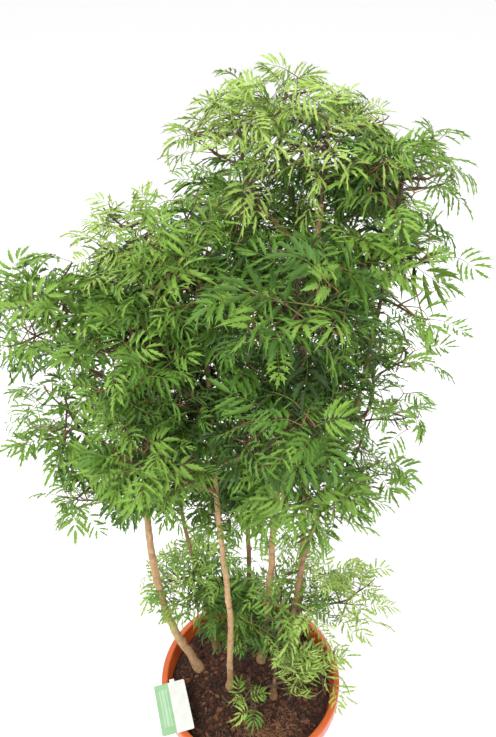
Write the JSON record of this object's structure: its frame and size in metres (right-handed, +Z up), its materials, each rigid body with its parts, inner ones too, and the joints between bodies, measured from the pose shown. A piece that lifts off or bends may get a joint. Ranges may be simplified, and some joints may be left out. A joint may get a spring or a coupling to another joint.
{
  "type": "potted ming aralia",
  "caption": "Leafy ming aralia with slender woody stems that rise from bark compost in a round tapered plastic pot; it stands free on a floor as an indoor plant.",
  "frame": {"origin": "centre of the pot's flat underside", "axes": "+Z up along the pot's axis and the plant; the side seen first faces -Y, with +X to its right"},
  "size_m": [0.6452, 0.4491, 1.3902],
  "materials": {
    "bark": "matt pinkish tan bark with fine cracks and leaf scars",
    "leaf": "satin mid green leaves",
    "young_leaf": "satin yellow-green young leaves",
    "pot_plastic": "satin orange-red moulded plastic",
    "bark_compost": "matt damp dark brown bark chips",
    "label_card": "satin pale green and white coated card"
  },
  "bodies": {
    "root": {"bough_left_hem_1": "bark", "bough_left_lower_1": "bark", "bough_left_lower_2": "bark", "bough_left_upper_1": "bark", "bough_left_upper_2": "bark", "bough_middle_1": "bark", "bough_shoulder_1": "bark", "bough_top_1": "bark", "bough_top_3": "bark", "bough_upper_1": "bark", "compost": "bark_compost", "hem_1": "leaf", "label": "label_card", "left_hem_1": "leaf", "left_hem_2": "leaf", "left_lower_1": "leaf", "left_lower_2": "leaf", "left_lower_3": "leaf", "left_top_1": "young_leaf", "left_upper_1": "leaf", "left_upper_2": "leaf", "left_upper_3": "leaf", "low_back": "young_leaf", "low_centre": "young_leaf", "low_front": "young_leaf", "low_left": "young_leaf", "low_right": "young_leaf", "low_rim": "young_leaf", "lower_1": "leaf", "lower_2": "leaf", "lower_3": "leaf", "lower_4": "leaf", "middle_1": "leaf", "middle_2": "leaf", "middle_3": "leaf", "middle_4": "leaf", "middle_5": "leaf", "pot": "pot_plastic", "shoulder_1": "leaf", "shoulder_2": "leaf", "stem_back": "bark", "stem_centre": "bark", "stem_far_right": "bark", "stem_front": "bark", "stem_left": "bark", "stem_mid_left": "bark", "stem_right": "bark", "stem_stub": "bark", "top_1": "young_leaf", "top_2": "young_leaf", "top_3": "young_leaf", "upper_1": "leaf", "upper_2": "leaf", "upper_3": "leaf", "upper_4": "leaf", "upper_5": "leaf"}
  },
  "joints": []
}
